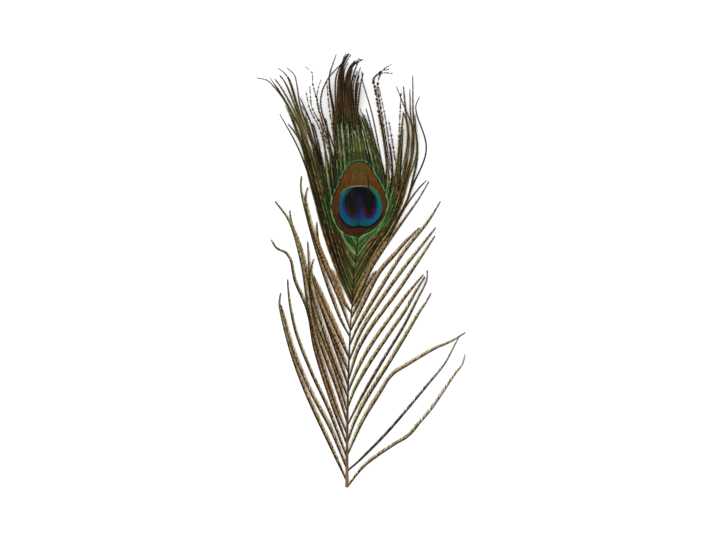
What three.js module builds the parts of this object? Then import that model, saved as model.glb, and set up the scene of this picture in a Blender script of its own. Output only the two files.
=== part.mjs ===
// A trimmed peacock eye feather, lying face up.
//
// The shaft runs along +Y from its cut end to the tip of the feather. Barbs leave it on both sides. Round
// the eye they hook together into one vane, a half on each side of the shaft, and above the eye they part
// again into a crown of loose strands. Millimetres, +Z up. Routes are drawn with the cut end of the shaft
// at the origin, and the finished feather is moved so that its own origin is the middle of its base.

import * as THREE from 'three';

// Driving dimensions.
const SHAFT_BASE_WIDTH = 2.4;
const SHAFT_TIP_WIDTH = 0.6;
const SHAFT_DEPTH_SHARE = 0.9; // depth of the shaft as a share of its width
const SHAFT_TAPER_SHARE = 0.7; // how much of its length the shaft takes to reach its tip width
const BARB_WIDTH = 1.8;
const STRAND_WIDTH = 1.2;
const BARB_THICKNESS = 0.6;
const ROOT_WIDTH_SHARE = 0.45; // how narrow a barb starts
const ROOT_TAPER_END = 0.15; // share of its length at which it reaches full width
const TIP_TAPER_START = 0.7; // share of its length at which it begins to narrow
const TIP_WIDTH_SHARE = 0.25; // how narrow it ends
const VANE_THICKNESS = 0.8;
const GAP = 0.3; // clear space between neighbours
const STEP_LENGTH = 6.5; // length of one straight piece of a curved barb
const FIRST_STEP = 1.5; // least length of the first one
const SHAFT_SAMPLES = 400;
const BARB_SAMPLES = 200;
const VANE_SAMPLES = 25; // points on the shaft that the vane's inner edge is drawn from

// The feather's edges lift off the table: the crown from CROWN_START upwards, the side tips outside SIDE_START.
const CROWN_START = 200;
const CROWN_END = 281;
const CROWN_LIFT = 6;
const SIDE_START = 38;
const SIDE_END = 77;
const SIDE_LIFT = 3;

const SHAFT_ROUTE = [
  [0, 0], [0, 24], [0.5, 56], [1.5, 89], [2.5, 108.5], [3.5, 121.5], [4.5, 138], [7, 160.5], [8, 180], [8.3, 203],
];

// Loose barbs, from the shaft out to the tip, in order from the cut end upwards.
const RIGHT_BARBS = [
  [[1, 1.5], [10.5, 13], [21.5, 21.5], [34.5, 30], [40.5, 33.5], [46, 40.5], [54.5, 50.5], [70, 73.5], [75, 80.5],
    [76.5, 86]],
  [[0.5, 11], [6, 15.5], [16.5, 25.5], [28, 37.5], [54, 68.5], [63.5, 80.5], [69, 91], [72, 97]],
  [[0.5, 22], [3.5, 28.5], [11, 44], [21.5, 61], [29, 72.5], [39.5, 79.5], [58, 90.5], [67, 94.5], [76.5, 100.5]],
  [[0.5, 30], [4.5, 41], [12.5, 56.5], [28.5, 82], [40.5, 102], [48, 115], [52.5, 122], [54.5, 126]],
  [[0.5, 41], [8.5, 56.5], [24.5, 84], [37, 104.5], [47.5, 125.5], [51.5, 133.5], [52, 141]],
  [[0.5, 52], [5, 63], [13.5, 78], [29.5, 102], [38.5, 115], [44, 125.5], [50.5, 136.5]],
  [[1, 62.5], [3.5, 69], [14, 89], [32, 115], [41.5, 128], [49.5, 138]],
  [[1.5, 72], [7.5, 89], [15, 102], [34, 128], [48, 149], [57, 163]],
  [[1.5, 83], [10, 102], [27, 128], [36.5, 141], [51.5, 160.5], [57.5, 168.5]],
  [[2, 93], [6, 102], [21.5, 128], [36.5, 151.5], [53.5, 173.5], [60.5, 185.5]],
  [[2, 101.5], [9, 115], [22, 140], [28.5, 147.5], [39.5, 160.5], [47, 168.5]],
  [[2.5, 110], [6, 116], [11.5, 128], [19, 140]],
  [[3, 116.5], [9.5, 128], [15.5, 141], [23.5, 154], [37, 173.5], [47, 188], [53, 198.5]],
];
const LEFT_BARBS = [
  [[-0.5, 5], [-13.5, 32], [-27.5, 62.5], [-37, 89], [-43, 113], [-44, 119.5], [-43, 126]],
  [[-0.5, 13.5], [-10.5, 37], [-24.5, 63.5], [-35, 89], [-41, 111], [-43, 118.5]],
  [[-0.5, 21], [-12, 50], [-24, 76], [-33.5, 101], [-37.5, 121], [-38.5, 135]],
  [[0, 28], [-8.5, 50], [-21, 89], [-26, 115], [-34, 134], [-37.5, 149.5], [-41, 153], [-45.5, 155], [-49, 160.5]],
  [[0, 35], [-6, 50], [-19, 89], [-25.5, 118.5], [-29.5, 144.5], [-37.5, 172.5], [-46.5, 185.5]],
  [[0, 43], [-6.5, 63], [-20, 101.5], [-25.5, 134.5], [-30.5, 156], [-36.5, 173.5], [-37, 179.5]],
  [[0, 50.5], [-8, 76], [-22, 115], [-24.5, 141], [-25.5, 159.5]],
  [[0.5, 59], [-11, 89], [-23, 128], [-24, 138], [-21.5, 148]],
  [[0.5, 67], [-8.5, 92.5], [-19.5, 125], [-23.5, 141.5]],
  [[1, 75], [-7, 93.5], [-18, 119.5], [-20, 126]],
  [[1.5, 84], [-8, 103.5], [-16, 121.5], [-21.5, 136.5]],
  [[2, 98], [-4, 108.5], [-14, 134.5], [-25.5, 173.5], [-30, 194.5], [-29.5, 202]],
  [[2, 103.5], [-5, 121.5], [-16, 147.5], [-24.5, 173], [-27, 190.5], [-25.5, 194.5]],
  [[2.5, 114], [-3, 121.5], [-13.5, 147.5], [-18, 158.5], [-19.5, 172]],
];

// Strands of the crown, each from where it lies on the vane up to its tip, in order from left to right.
const CROWN_STRANDS = [
  [[-19.5, 183.5], [-24, 200], [-32, 221], [-43.5, 242]],
  [[-25.5, 211.5], [-31, 226], [-38, 235.5]],
  [[-26.5, 224.5], [-34.5, 240], [-43.5, 255], [-52.5, 264], [-58, 265]],
  [[-25.5, 221], [-31, 234.5], [-42.5, 254], [-49.5, 265]],
  [[-27.5, 232.5], [-32.5, 247.5], [-37, 262.5], [-40.5, 268.5], [-44.5, 271.5]],
  [[-22, 225], [-30, 246.5], [-32.5, 261.5], [-34.5, 268], [-38.5, 271.5]],
  [[-19, 219], [-23.5, 236.5], [-30, 252]],
  [[-12.5, 225], [-18.5, 247.5], [-22.5, 263.5], [-23, 270], [-27, 272.5]],
  [[-11, 215], [-16.5, 234.5], [-22.5, 245.5], [-24, 259.5]],
  [[-9, 222], [-17, 249.5], [-12.5, 264], [-2.5, 275]],
  [[-8.5, 241], [-11.5, 264.5], [-7, 280]],
  [[-8.5, 227], [-11.5, 246.5], [-13, 262]],
  [[-6, 251.5], [-4, 271], [1.5, 281]],
  [[-3, 250], [-3.5, 266], [-2, 278.5]],
  [[1, 250], [0.5, 266], [3.5, 273], [9, 276.5]],
  [[4, 248], [3, 262], [7, 275]],
  [[7, 246.5], [9, 262], [10.5, 268]],
  [[22.5, 211], [16, 243], [10, 263.5], [9.5, 269]],
  [[19, 221], [12.5, 245]],
  [[27, 205], [21.5, 237.5], [18, 259.5], [17, 264.5], [22, 268], [29.5, 268]],
  [[28.5, 207], [22, 245], [20, 262], [23.5, 270.5], [28.5, 273.5]],
  [[30.5, 198], [25, 238.5], [21, 258]],
  [[33, 201], [28.5, 230], [27, 238]],
  [[30.5, 198.5], [34.5, 222.5], [36.5, 243]],
  [[33, 203], [34, 234], [35, 257.5]],
  [[41.5, 216], [42, 234], [37, 247], [32, 259.5]],
  [[36.5, 209.5], [39.5, 225.5], [38, 244], [36.5, 259.5]],
  [[37, 192], [45.5, 219], [43, 240], [42.5, 266.5]],
  [[41.5, 193], [51.5, 219.5], [44.5, 246], [47, 253]],
  [[28, 163], [37, 180.5], [47, 194.5], [51.5, 199]],
];

// The vane round the eye. Each half is bounded by the shaft, by its outer edge from the bottom up, and by the
// ragged line where its barbs part into the crown, which runs back to the middle.
const VANE_BOTTOM = 121;
const VANE_TOP = 246;
const VANE_ABOVE_SHAFT = 1; // where the halves close in on each other, above the shaft's tip
const LEFT_VANE_EDGE = [
  [1.8, 121], [-3.6, 135.2], [-10, 151.5], [-14.6, 165.8], [-18.8, 181.4], [-23, 198.9], [-28, 213], [-33.5, 228],
  [-31, 238], [-26, 231], [-20.5, 218], [-15, 210], [-12, 214], [-10.5, 228], [-9, 246], [-6.5, 257], [3, 257],
];
const RIGHT_VANE_EDGE = [
  [4.8, 121], [12.7, 142.4], [21.1, 155.4], [30.2, 169.7], [36.5, 183.3], [41, 194], [45, 207], [46.5, 220],
  [43, 232], [39.5, 222], [36, 208], [32, 200], [24, 205], [20, 213], [17, 224], [13, 235], [9.5, 246],
];

const COLOURS = { shaft: '#4a3a2a', barb: '#5a4527', crown: '#3f331f', vane: '#4c5524' };

const { clamp, lerp, smoothstep } = THREE.MathUtils;

function curveThrough(route) {
  return new THREE.CatmullRomCurve3(route.map(([x, y]) => new THREE.Vector3(x, y, 0)), false, 'centripetal');
}

// Height of the feather's underside over the table at a place in plan.
function liftAt(point) {
  const crown = CROWN_LIFT * smoothstep(point.y, CROWN_START, CROWN_END);
  const sides = SIDE_LIFT * smoothstep(Math.abs(point.x), SIDE_START, SIDE_END);
  return crown + sides;
}

// Sweeps a section of unit size along a curve. The section's X becomes width and its Y becomes thickness,
// and widthAt gives the width at a share u of the curve's length.
function sweep(curve, section, widthAt, thicknessAt, undersideAt) {
  const steps = Math.max(3, Math.round(curve.getLength() / STEP_LENGTH));
  const geometry = new THREE.ExtrudeGeometry(section, { depth: 1, steps, bevelEnabled: false });
  const position = geometry.getAttribute('position');
  for (let i = 0; i < position.count; i += 1) {
    const u = clamp(position.getZ(i), 0, 1);
    const centre = curve.getPointAt(u);
    const along = curve.getTangentAt(u);
    const across = position.getX(i) * widthAt(u);
    const height = undersideAt(centre) + position.getY(i) * thicknessAt(u);
    position.setXYZ(i, centre.x - along.y * across, centre.y + along.x * across, height);
  }
  geometry.computeVertexNormals();
  return geometry;
}

function named(name, geometry, colour) {
  const material = new THREE.MeshStandardMaterial({ color: colour, roughness: 0.6, metalness: 0 });
  const mesh = new THREE.Mesh(geometry, material);
  mesh.name = name;
  return mesh;
}

const shaftCurve = curveThrough(SHAFT_ROUTE);

function shaftWidthAt(u) {
  return lerp(SHAFT_BASE_WIDTH, SHAFT_TIP_WIDTH, Math.min(1, Math.sqrt(u / SHAFT_TAPER_SHARE)));
}

// Flat below, rounded above.
function shaft() {
  const section = new THREE.Shape();
  section.moveTo(-0.42, 0);
  section.lineTo(0.42, 0);
  section.lineTo(0.5, 0.3);
  section.lineTo(0.38, 0.78);
  section.lineTo(0, 1);
  section.lineTo(-0.38, 0.78);
  section.lineTo(-0.5, 0.3);
  section.closePath();
  const depthAt = (u) => shaftWidthAt(u) * SHAFT_DEPTH_SHARE;
  return named('shaft', sweep(shaftCurve, section, shaftWidthAt, depthAt, () => 0), COLOURS.shaft);
}

// A barb is flat below and narrower above.
function barbSection() {
  const section = new THREE.Shape();
  section.moveTo(-0.5, 0);
  section.lineTo(0.5, 0);
  section.lineTo(0.3, 1);
  section.lineTo(-0.3, 1);
  section.closePath();
  return section;
}

function barbWidthAt(fullWidth, u) {
  const root = lerp(ROOT_WIDTH_SHARE, 1, smoothstep(u, 0, ROOT_TAPER_END));
  const tip = lerp(1, TIP_WIDTH_SHARE, smoothstep(u, TIP_TAPER_START, 1));
  return fullWidth * Math.min(root, tip);
}

// The part of a route that stands clear of the shaft.
function clearOfShaft(route, width) {
  const curve = curveThrough(route);
  const shaftSamples = shaftCurve.getSpacedPoints(SHAFT_SAMPLES);
  const isClear = (point) => shaftSamples.every((other, i) => {
    const clearance = 0.5 * shaftWidthAt(i / SHAFT_SAMPLES) + GAP + 0.5 * width * ROOT_WIDTH_SHARE;
    return point.distanceTo(other) > clearance;
  });
  const first = curve.getSpacedPoints(BARB_SAMPLES).find(isClear);
  return [[first.x, first.y], ...route.filter(([, y]) => y > first.y + FIRST_STEP)];
}

// Two strands meet where they come closer than their half widths and the gap.
function meet(a, b) {
  return a.discs.some((p) => b.discs.some((q) => Math.hypot(p.x - q.x, p.y - q.y) < p.radius + q.radius + GAP));
}

// Strands that meet are stacked: each takes the lowest level where it meets no strand placed before it.
function stack(strands) {
  const placed = [];
  for (const strand of strands) {
    let level = 0;
    while (placed.some((other) => other.level === level && meet(other, strand))) level += 1;
    placed.push({ ...strand, level });
  }
  return placed;
}

function strand(name, route, width, colour, base) {
  const curve = curveThrough(route);
  const count = Math.ceil(curve.getLength());
  const discs = curve.getSpacedPoints(count).map((point, i) => (
    { x: point.x, y: point.y, radius: 0.5 * barbWidthAt(width, i / count) }
  ));
  return { name, curve, width, colour, base, discs };
}

function strandMesh({ name, curve, width, colour, base, level }) {
  const underside = (point) => base + level * (BARB_THICKNESS + GAP) + liftAt(point);
  const geometry = sweep(curve, barbSection(), (u) => barbWidthAt(width, u), () => BARB_THICKNESS, underside);
  return named(name, geometry, colour);
}

function numbered(prefix, index) {
  return `${prefix}_${String(index + 1).padStart(2, '0')}`;
}

function looseBarbs(prefix, routes) {
  return routes.map((route, i) => (
    strand(numbered(prefix, i), clearOfShaft(route, BARB_WIDTH), BARB_WIDTH, COLOURS.barb, 0)
  ));
}

// The crown's strands lie on the vane.
function crownStrands() {
  const base = VANE_THICKNESS + GAP;
  return CROWN_STRANDS.map((route, i) => strand(numbered('crown', i), route, STRAND_WIDTH, COLOURS.crown, base));
}

// One half of the vane: side is -1 for the left and 1 for the right. Its inner edge follows the shaft.
function vaneHalf(name, outerEdge, side) {
  const inner = [];
  for (let i = VANE_SAMPLES; i > 0; i -= 1) {
    const u = i / VANE_SAMPLES;
    const centre = shaftCurve.getPointAt(u);
    const clearance = 0.5 * shaftWidthAt(u) + GAP;
    if (centre.y > VANE_BOTTOM) inner.push(new THREE.Vector2(centre.x + side * clearance, centre.y));
  }
  const shaftTip = shaftCurve.getPointAt(1);
  const aboveShaft = [VANE_TOP, shaftTip.y + VANE_ABOVE_SHAFT].map((y) => (
    new THREE.Vector2(shaftTip.x + side * GAP, y)
  ));
  const outer = outerEdge.map(([x, y]) => new THREE.Vector2(x, y));
  const outline = new THREE.Shape([...outer, ...aboveShaft, ...inner]);
  const geometry = new THREE.ExtrudeGeometry(outline, { depth: VANE_THICKNESS, bevelEnabled: false });
  return named(name, geometry, COLOURS.vane);
}

function feather() {
  const group = new THREE.Group();
  const loose = stack([...looseBarbs('barb_right', RIGHT_BARBS), ...looseBarbs('barb_left', LEFT_BARBS)]);
  const crown = stack(crownStrands());
  group.add(
    shaft(),
    vaneHalf('eye_vane_left', LEFT_VANE_EDGE, -1),
    vaneHalf('eye_vane_right', RIGHT_VANE_EDGE, 1),
    ...loose.map(strandMesh),
    ...crown.map(strandMesh),
  );
  const box = new THREE.Box3().setFromObject(group);
  const middle = box.getCenter(new THREE.Vector3());
  group.position.set(-middle.x, -middle.y, -box.min.z);
  const framed = new THREE.Group();
  framed.add(group);
  return framed;
}

export default feather();
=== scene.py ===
"""A peacock eye feather lying face up on a pale floor.

Every barb is a tapered quill with a fringe of barbules on each side. The loose barbs and the crown's
strands follow the strips of the CAD model. Round the eye the barbs are a fan drawn between a few guide
barbs, and the eye's pattern is painted on them by how far inside its outlines they lie.
Lengths are millimetres until a mesh is made. Plan places are measured from the cut end of the shaft.
"""

import math
from dataclasses import dataclass

import bpy
import numpy as np
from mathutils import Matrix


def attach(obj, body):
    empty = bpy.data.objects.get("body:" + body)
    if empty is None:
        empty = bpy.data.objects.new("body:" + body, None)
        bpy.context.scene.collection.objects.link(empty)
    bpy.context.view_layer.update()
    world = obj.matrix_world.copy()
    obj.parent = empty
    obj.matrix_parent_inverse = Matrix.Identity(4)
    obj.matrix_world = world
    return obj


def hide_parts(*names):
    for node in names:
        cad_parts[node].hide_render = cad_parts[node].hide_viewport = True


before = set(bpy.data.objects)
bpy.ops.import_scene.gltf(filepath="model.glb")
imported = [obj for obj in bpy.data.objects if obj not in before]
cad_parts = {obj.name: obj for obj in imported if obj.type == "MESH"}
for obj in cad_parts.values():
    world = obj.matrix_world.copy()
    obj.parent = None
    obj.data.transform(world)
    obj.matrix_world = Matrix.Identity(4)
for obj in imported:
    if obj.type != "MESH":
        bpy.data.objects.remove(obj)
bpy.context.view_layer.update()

MM = 0.001
QUILL_SIDES = 5
QUILL_STEP = 1.8  # about the length of one straight piece of a quill
SECTION_SPAN = 2.7  # a CAD strip's section fits inside this, and its sections are further apart
FAN_POINTS = 30  # points along each barb of the vane

# Outlines of the eye's pattern, each from its lowest point or its notch round to the left.
EYE = [(7, 162.6), (0.3, 164.3), (-4.8, 168), (-8.2, 174.5), (-9.7, 181.5), (-9.2, 187), (-6.4, 194),
       (-0.3, 206.5), (3.4, 210.6), (8, 211.7), (12.6, 210.6), (15.9, 206.5), (19.8, 200), (23.7, 192.7),
       (25.7, 187), (25.6, 181.4), (24, 176), (20.9, 171.2), (15.4, 166.7), (10.4, 163.9)]
RING = [(7.8, 170.2), (4.8, 169.5), (2, 169.8), (-1.5, 172.2), (-4, 176), (-5.2, 181), (-4.5, 187),
        (-2.4, 192.2), (0.6, 194), (7.8, 195.2), (15.8, 194.1), (19.8, 191), (22.4, 186), (23, 181),
        (21.4, 176), (17.7, 171.7), (13.6, 169.5), (10.6, 169.5)]
HEART = [(9.8, 181.8), (8, 179), (6.5, 176.2), (4.4, 174.9), (2.2, 175.8), (0, 178.6), (-1.5, 183),
         (-0.8, 188.6), (2, 193), (8, 195.2), (14.6, 193.4), (18, 189), (18.8, 184.5), (18.2, 179.5),
         (16.6, 176.2), (14.5, 175), (12.4, 176), (10.9, 178.6)]
MIDLINE = 8.0  # where the eye's middle is, across the feather

# Guide barbs of the vane round the eye, from the outermost to the one over the shaft. Each starts on the
# shaft.
OVER_SHAFT = [(8.3, 186.6), (7.2, 199.6), (6.2, 212.6), (5, 225.6), (3.4, 240), (2, 253)]
LEFT_GUIDES = [
    [(2.6, 118.3), (-4.5, 135), (-11, 151.5), (-17.5, 172), (-21, 186), (-24, 197), (-26.5, 208),
     (-28.5, 218), (-31, 225.5), (-34.5, 234.5), (-37.5, 242.5), (-41, 249.5)],
    [(3, 123), (-2.5, 138), (-8.5, 157.5), (-14.5, 180), (-19.5, 199.5), (-23.5, 214), (-27.5, 225.5),
     (-31, 237), (-34.5, 247)],
    [(3.3, 134.5), (-1.8, 149), (-8.2, 170.5), (-13, 186.5), (-16, 199.5), (-18, 210.5), (-20, 219),
     (-22.8, 227.5), (-25, 235.5), (-27, 243)],
    [(4, 144.5), (-0.5, 154), (-6.3, 168.5), (-10.8, 185), (-13.3, 196.5), (-15, 205), (-16.8, 213),
     (-18.5, 222), (-20.5, 231), (-22.5, 239)],
    [(4.5, 151.5), (-1.2, 160.5), (-6, 175), (-9.4, 186.5), (-11.5, 196.5), (-12.8, 206), (-14.2, 218),
     (-16, 231), (-18.5, 241)],
    [(5.2, 158), (0, 168.5), (-5.2, 178), (-7.7, 188.5), (-9, 199.5), (-10, 209.5), (-11, 219),
     (-13, 232), (-15, 243)],
    [(6.8, 167), (0, 177), (-4.5, 188.5), (-6, 201), (-6.8, 214), (-8, 227), (-8.8, 238.5),
     (-9.5, 248)],
    [(7.8, 175), (2.5, 183.5), (0.5, 194.5), (-1, 206), (-2, 219), (-3, 232), (-3.5, 245), (-4, 255)],
    OVER_SHAFT,
]
RIGHT_GUIDES = [
    [(3.9, 119.6), (8.5, 131.5), (14.5, 142.5), (21.5, 154), (27.5, 163), (33, 173), (37.5, 182),
     (41, 191), (43, 199.5), (45, 208), (46, 216), (45.5, 225), (44.5, 237.5), (44, 245)],
    [(4, 126.8), (11.5, 142.5), (20, 157.5), (28, 169.5), (34, 181.5), (37, 190), (39, 198.5),
     (40.5, 206), (42.5, 216), (43.5, 225.5), (43, 242)],
    [(4.6, 136), (12.5, 151), (20, 162), (27.5, 173.5), (32, 184.5), (34.5, 193), (36.5, 203),
     (38.5, 212.5), (39.5, 222.5), (39.5, 232), (40, 240)],
    [(5, 142.5), (11.5, 154), (19, 164), (25.5, 174), (30, 184.5), (32, 193), (34, 201), (35, 209.5),
     (35.5, 219), (36, 227), (37.5, 242)],
    [(5.8, 149), (12.5, 158), (20, 167.5), (25.5, 178), (28.5, 188), (30.5, 195), (32, 203), (33, 211.5),
     (33.5, 219), (34, 229), (35, 237.5)],
    [(6.3, 155.5), (13.5, 163), (21.5, 172), (26, 182), (28.5, 191), (29.5, 199.5), (29.5, 209.5),
     (28.5, 219), (26, 235.5)],
    [(6.8, 160), (13.5, 167), (21, 175.5), (24.5, 184.5), (26, 193), (26.5, 203), (25.5, 212.5),
     (24.5, 222.5), (22, 240)],
    [(7.2, 164.5), (14.5, 171), (20, 179), (23.5, 188), (24, 196.5), (23, 205), (21.5, 212.5),
     (19.5, 219), (16, 228), (12.5, 237.5), (9, 245.5)],
    [(7.7, 170.5), (13.5, 177), (17.5, 184.5), (19, 193), (18, 203), (16, 212.5), (13.5, 222.5),
     (10.5, 233.5), (7, 246)],
    [(8, 178.5), (12.5, 186.5), (13.5, 196.5), (12.5, 209.5), (10.5, 222.5), (8, 235.5), (5, 249)],
    OVER_SHAFT,
]
# For each gap between two guides: how many barbs, how short they may end and where they begin to part into
# strands, both as shares of the guides' length, how strongly they are drawn to the nearer guide there, and
# how much darker or, below zero, paler than the others their outer half is.
LEFT_GAPS = [(11, 0.9, 0.75, 0.3, -0.3), (13, 0.88, 0.7, 0.4, -0.2), (6, 0.85, 0.6, 0.85, 0.1),
             (6, 0.8, 0.6, 0.85, 0.0), (6, 0.8, 0.6, 0.85, 0.0), (9, 0.85, 0.6, 0.75, 0.0),
             (11, 0.92, 0.8, 0.1, 0.0), (12, 0.9, 0.8, 0.2, 0.0)]
RIGHT_GAPS = [(7, 0.86, 0.42, 0.6, -0.3), (9, 0.9, 0.62, 0.5, -0.2), (6, 0.75, 0.55, 0.8, 0.0),
              (5, 0.85, 0.5, 0.0, -1.0), (5, 0.7, 0.5, 0.9, -0.2), (5, 0.75, 0.5, 0.85, 0.3),
              (6, 0.75, 0.5, 0.85, 0.2), (11, 0.9, 0.8, 0.2, 0.0), (11, 0.9, 0.8, 0.2, 0.0),
              (11, 0.9, 0.8, 0.2, 0.0)]


# ---------------- lines

def smooth_line(guides, per_span=12):
    """Points on a smooth line through the guide points."""
    guides = np.asarray(guides, float)
    knots = np.concatenate([[0], np.cumsum(np.linalg.norm(np.diff(guides, axis=0), axis=1))])
    slopes = np.gradient(guides, knots, axis=0)
    at = np.linspace(0, knots[-1], per_span * (len(guides) - 1) + 1)
    i = np.clip(np.searchsorted(knots, at, side="right") - 1, 0, len(guides) - 2)
    span = (knots[i + 1] - knots[i])[:, None]
    u = ((at - knots[i])[:, None]) / span
    return (
        (1 + 2 * u) * (1 - u) ** 2 * guides[i]
        + u * (1 - u) ** 2 * span * slopes[i]
        + u ** 2 * (3 - 2 * u) * guides[i + 1]
        + u ** 2 * (u - 1) * span * slopes[i + 1]
    )


class Route:
    """A smooth line in space, and places beside it given by the length along it."""

    def __init__(self, guides):
        line = smooth_line(guides)
        beyond = line[-1] + 3 * (line[-1] - line[-2]) / np.linalg.norm(line[-1] - line[-2])
        line = np.vstack([line, beyond])
        steps = np.linalg.norm(np.diff(line, axis=0), axis=1)
        self.at = np.concatenate([[0], np.cumsum(steps)])
        self.length = self.at[-2]
        self.line = line
        heading = np.gradient(line[:, :2], self.at, axis=0)
        heading /= np.linalg.norm(heading, axis=1)[:, None]
        self.left = np.stack([-heading[:, 1], heading[:, 0]], axis=1)

    def beside(self, along, side, rise):
        """Points `along` mm from the root, `side` mm to the left and `rise` mm up."""
        x, y, z = (np.interp(along, self.at, self.line[:, k]) for k in range(3))
        left_x, left_y = (np.interp(along, self.at, self.left[:, k]) for k in range(2))
        return np.stack([x + side * left_x, y + side * left_y, z + rise], axis=-1)

    def evenly(self, count):
        """Points at equal steps from the root to the tip."""
        return self.beside(np.linspace(0, self.length, count), 0, 0)


def sections(node):
    """The middle and the width of each section of a CAD strip, from its root to its tip."""
    corners = np.array([vertex.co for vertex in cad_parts[node].data.vertices]) / MM
    corners = np.unique(corners.round(2), axis=0)
    here = corners[corners[:, 1].argmin()]
    middles = []
    widths = []
    while len(corners):
        nearest = corners[np.linalg.norm(corners - here, axis=1).argmin()]
        together = np.linalg.norm(corners - nearest, axis=1) < SECTION_SPAN
        group = corners[together]
        corners = corners[~together]
        here = group.mean(axis=0)
        middles.append(here)
        widths.append(np.linalg.norm(np.ptp(group[:, :2], axis=0)))
    return np.array(middles), np.array(widths)


shaft_middles, shaft_widths = sections("shaft")
CUT_END = np.array([shaft_middles[0, 0], shaft_middles[0, 1], 0])


def shaft_x(y):
    """Where the middle of the shaft is, in plan."""
    return np.interp(y, shaft_middles[:, 1] - CUT_END[1], shaft_middles[:, 0] - CUT_END[0])


def inside(plan, outline):
    """How far each place is inside a closed outline, in mm. It is negative outside."""
    line = smooth_line(outline + outline[:1], per_span=6)
    distance = np.full(len(plan), np.inf)
    within = np.zeros(len(plan), bool)
    for start, end in zip(line[:-1], line[1:]):
        edge = end - start
        offset = plan - start
        along = np.clip(offset @ edge / (edge @ edge), 0, 1)
        distance = np.minimum(distance, np.hypot(*(offset - along[:, None] * edge).T))
        beside = (offset[:, 1] < 0) != (plan[:, 1] < end[1])
        turn = edge[0] * offset[:, 1] - edge[1] * offset[:, 0]
        within ^= beside & ((turn > 0) == (edge[1] > 0))
    return np.where(within, distance, -distance)


def steady(*levels):
    """A function that runs through the given levels from share 0 to share 1."""
    shares = np.linspace(0, 1, len(levels))
    return lambda share: np.interp(share, shares, levels)


# ---------------- meshes

@dataclass
class Fringe:
    """The barbules on one side of a quill."""
    spacing: float
    lean: float  # their angle to the quill, in degrees
    width: float
    clump: float = 0.3  # how far the tips are drawn together in tufts, from 0 to 1
    clump_length: float = 1.8
    stray: float = 0.15  # the share of barbules left standing between the tufts
    tilt: float = 0.15  # the steepest slope at which they rise


def blade_faces(count, flip):
    """Triangles of pointed blades of five points each."""
    blade = np.array([[0, 1, 3], [0, 3, 2], [2, 3, 4]])
    if flip:
        blade = blade[:, ::-1]
    return (np.arange(count)[:, None, None] * 5 + blade).reshape(-1, 3)


def tube_faces(rings, sides):
    """Triangles of a closed tube whose rings of points follow one another."""
    corner = np.arange(rings - 1)[:, None] * sides + np.arange(sides)
    beside = np.arange(rings - 1)[:, None] * sides + (np.arange(sides) + 1) % sides
    lower = np.stack([corner, beside, beside + sides], -1).reshape(-1, 3)
    upper = np.stack([corner, beside + sides, corner + sides], -1).reshape(-1, 3)
    fan = np.arange(1, sides - 1)
    last = (rings - 1) * sides
    root = np.stack([0 * fan, fan + 1, fan], -1)
    tip = np.stack([0 * fan + last, last + fan, last + fan + 1], -1)
    return np.concatenate([lower, upper, root, tip])


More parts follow.
